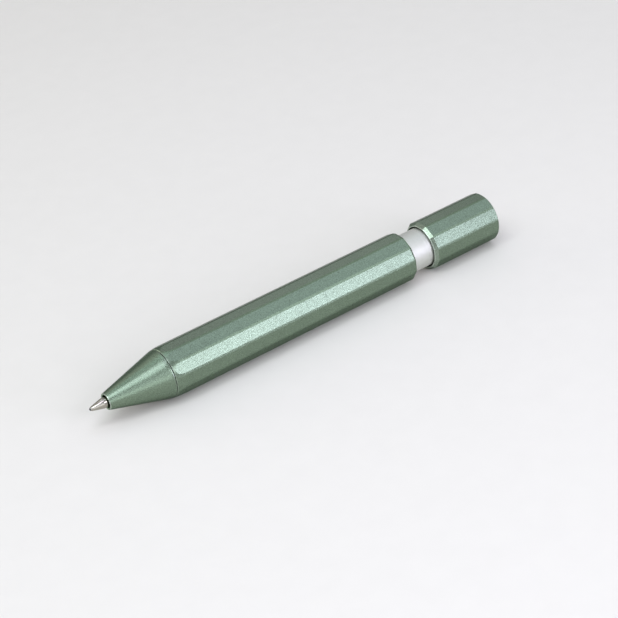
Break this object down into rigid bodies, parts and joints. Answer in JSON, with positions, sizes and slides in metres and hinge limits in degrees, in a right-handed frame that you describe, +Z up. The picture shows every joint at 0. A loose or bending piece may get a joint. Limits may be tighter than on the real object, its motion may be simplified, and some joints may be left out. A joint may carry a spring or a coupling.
{
  "type": "retractable ballpoint pen",
  "caption": "Slim metal ballpoint pen with a faceted barrel and cone nose; pressing its faceted cap over a bright tube puts the refill's point out or draws it in.",
  "frame": {"origin": "under the middle of the pen's length, on the surface it lies on", "axes": "+X along the pen from its point to its cap, +Z up from the flat it lies on"},
  "size_m": [0.1116, 0.0118, 0.0117],
  "materials": {
    "anodised": "bead-blasted and anodised sage green",
    "satin_steel": "satin",
    "polished_steel": "polished",
    "ball_carbide": "polished",
    "spring_steel": "drawn wire",
    "brass": "turned",
    "rubber": "moulded",
    "white_acetal": "moulded",
    "black_acetal": "moulded",
    "ink_paste": "paste"
  },
  "bodies": {
    "barrel": {"barrel": "anodised", "thread_insert": "brass", "guide_tube": "satin_steel", "cam_retainer": "spring_steel", "cam_sleeve": "white_acetal", "return_spring": "spring_steel"},
    "cap": {"cap_shell": "anodised", "cap_bush": "black_acetal", "cap_stud": "satin_steel", "thrust_tube": "white_acetal"},
    "refill": {"refill_tube": "polished_steel", "refill_point": "polished_steel", "refill_ink": "ink_paste", "refill_plug": "white_acetal"},
    "rotor": {"cam_rotor": "black_acetal"},
    "ball": {"refill_ball": "ball_carbide"},
    "seal": {"nose_seal": "rubber"},
    "nose": {"nose_cone": "anodised"}
  },
  "joints": [
    {"name": "refill_slide", "type": "slide", "parent": "barrel", "child": "refill", "axis": [1, 0, 0], "range_m": [-0.0014, 0.0054], "deforming": ["return_spring"]},
    {"name": "cap_press", "type": "slide", "parent": "barrel", "child": "cap", "axis": [1, 0, 0], "range_m": [-0.0014, 0.0054]},
    {"name": "rotor_turn", "type": "hinge", "parent": "refill", "child": "rotor", "pos_m": [0.0426, 0, 0.00586], "axis": [1, 0, 0], "continuous": true},
    {"name": "ball_roll", "type": "hinge", "parent": "refill", "child": "ball", "pos_m": [-0.05535, 0, 0.00586], "axis": [0, 1, 0], "continuous": true},
    {"name": "nose_advance", "type": "slide", "parent": "barrel", "child": "seal", "axis": [-1, 0, 0], "range_m": [0, 0.00525]},
    {"name": "nose_turn", "type": "hinge", "parent": "seal", "child": "nose", "pos_m": [-0.03575, 0, 0.00586], "axis": [-1, 0, 0], "range_deg": [0, 2520]}
  ],
  "couplings": [
    {"joint": "cap_press", "follows": "refill_slide", "ratio": 1},
    {"joint": "nose_turn", "follows": "nose_advance", "rad_per_m": 8377.6}
  ]
}
